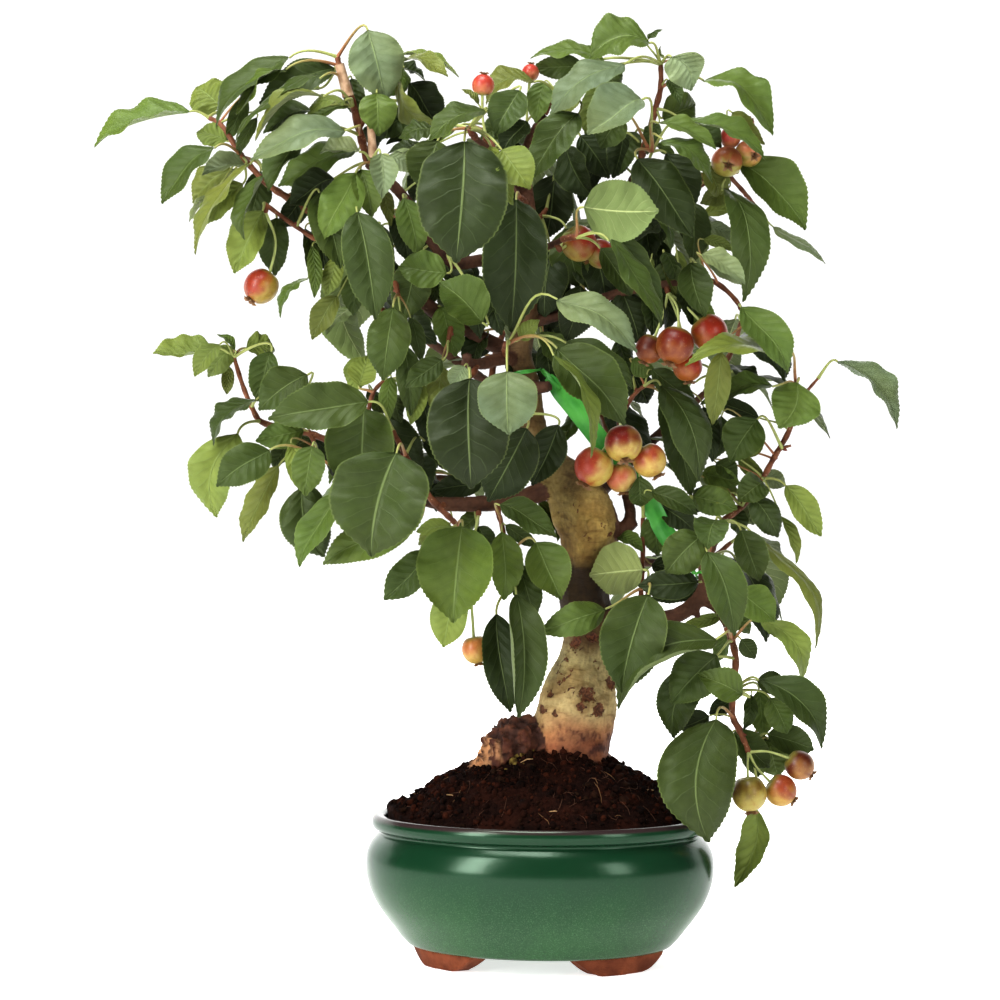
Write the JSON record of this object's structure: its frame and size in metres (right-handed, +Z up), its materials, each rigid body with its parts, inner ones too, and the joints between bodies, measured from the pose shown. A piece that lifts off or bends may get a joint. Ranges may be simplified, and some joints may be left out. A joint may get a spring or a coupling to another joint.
{
  "type": "crabapple bonsai",
  "caption": "Crabapple bonsai with a bare bent trunk, hanging leafy sprays and small ripening apples, in an oval glazed pot on clay feet.",
  "frame": {"origin": "middle of the whole object's box, on the surface that it stands on", "axes": "+Z up, -Y towards the tree's front side, +X to the right as the front side is seen"},
  "size_m": [0.4474, 0.27, 0.5223],
  "materials": {
    "glaze": "gloss",
    "soil": "matte",
    "bark": "matte",
    "leaf": "satin",
    "fruit": "satin",
    "tie": "satin",
    "net": "matte"
  },
  "bodies": {
    "root": {"branch_tie": "tie", "drain_mesh_left": "net", "drain_mesh_right": "net", "fruit_centre": "fruit", "fruit_crown_left": "fruit", "fruit_crown_top": "fruit", "fruit_left": "fruit", "fruit_low_left": "fruit", "fruit_lower_right": "fruit", "fruit_right_crown": "fruit", "fruit_right_middle": "fruit", "fruit_rosette": "fruit", "pot": "glaze", "soil": "soil", "spray_back_centre": "leaf", "spray_back_crown": "leaf", "spray_back_knee": "leaf", "spray_back_left": "leaf", "spray_back_left_low": "leaf", "spray_back_low": "leaf", "spray_back_middle": "leaf", "spray_back_right": "leaf", "spray_back_top": "leaf", "spray_centre": "leaf", "spray_centre_top": "leaf", "spray_far_left": "leaf", "spray_front_crown": "leaf", "spray_front_stub": "leaf", "spray_knee_left": "leaf", "spray_knuckle": "leaf", "spray_left_crown": "leaf", "spray_left_front": "leaf", "spray_left_twig": "leaf", "spray_left_upright": "leaf", "spray_limb_left": "leaf", "spray_limb_low": "leaf", "spray_limb_near": "leaf", "spray_limb_top": "leaf", "spray_low_centre": "leaf", "spray_low_limb": "leaf", "spray_lower_left": "leaf", "spray_lower_right": "leaf", "spray_middle": "leaf", "spray_right_crown": "leaf", "spray_right_middle": "leaf", "spray_right_twig": "leaf", "spray_rosette": "leaf", "spray_top_left": "leaf", "spray_top_right": "leaf", "spray_trunk_low": "leaf", "spray_trunk_right": "leaf", "spray_trunk_top": "leaf", "spray_upright": "leaf", "tree": "bark"}
  },
  "joints": []
}
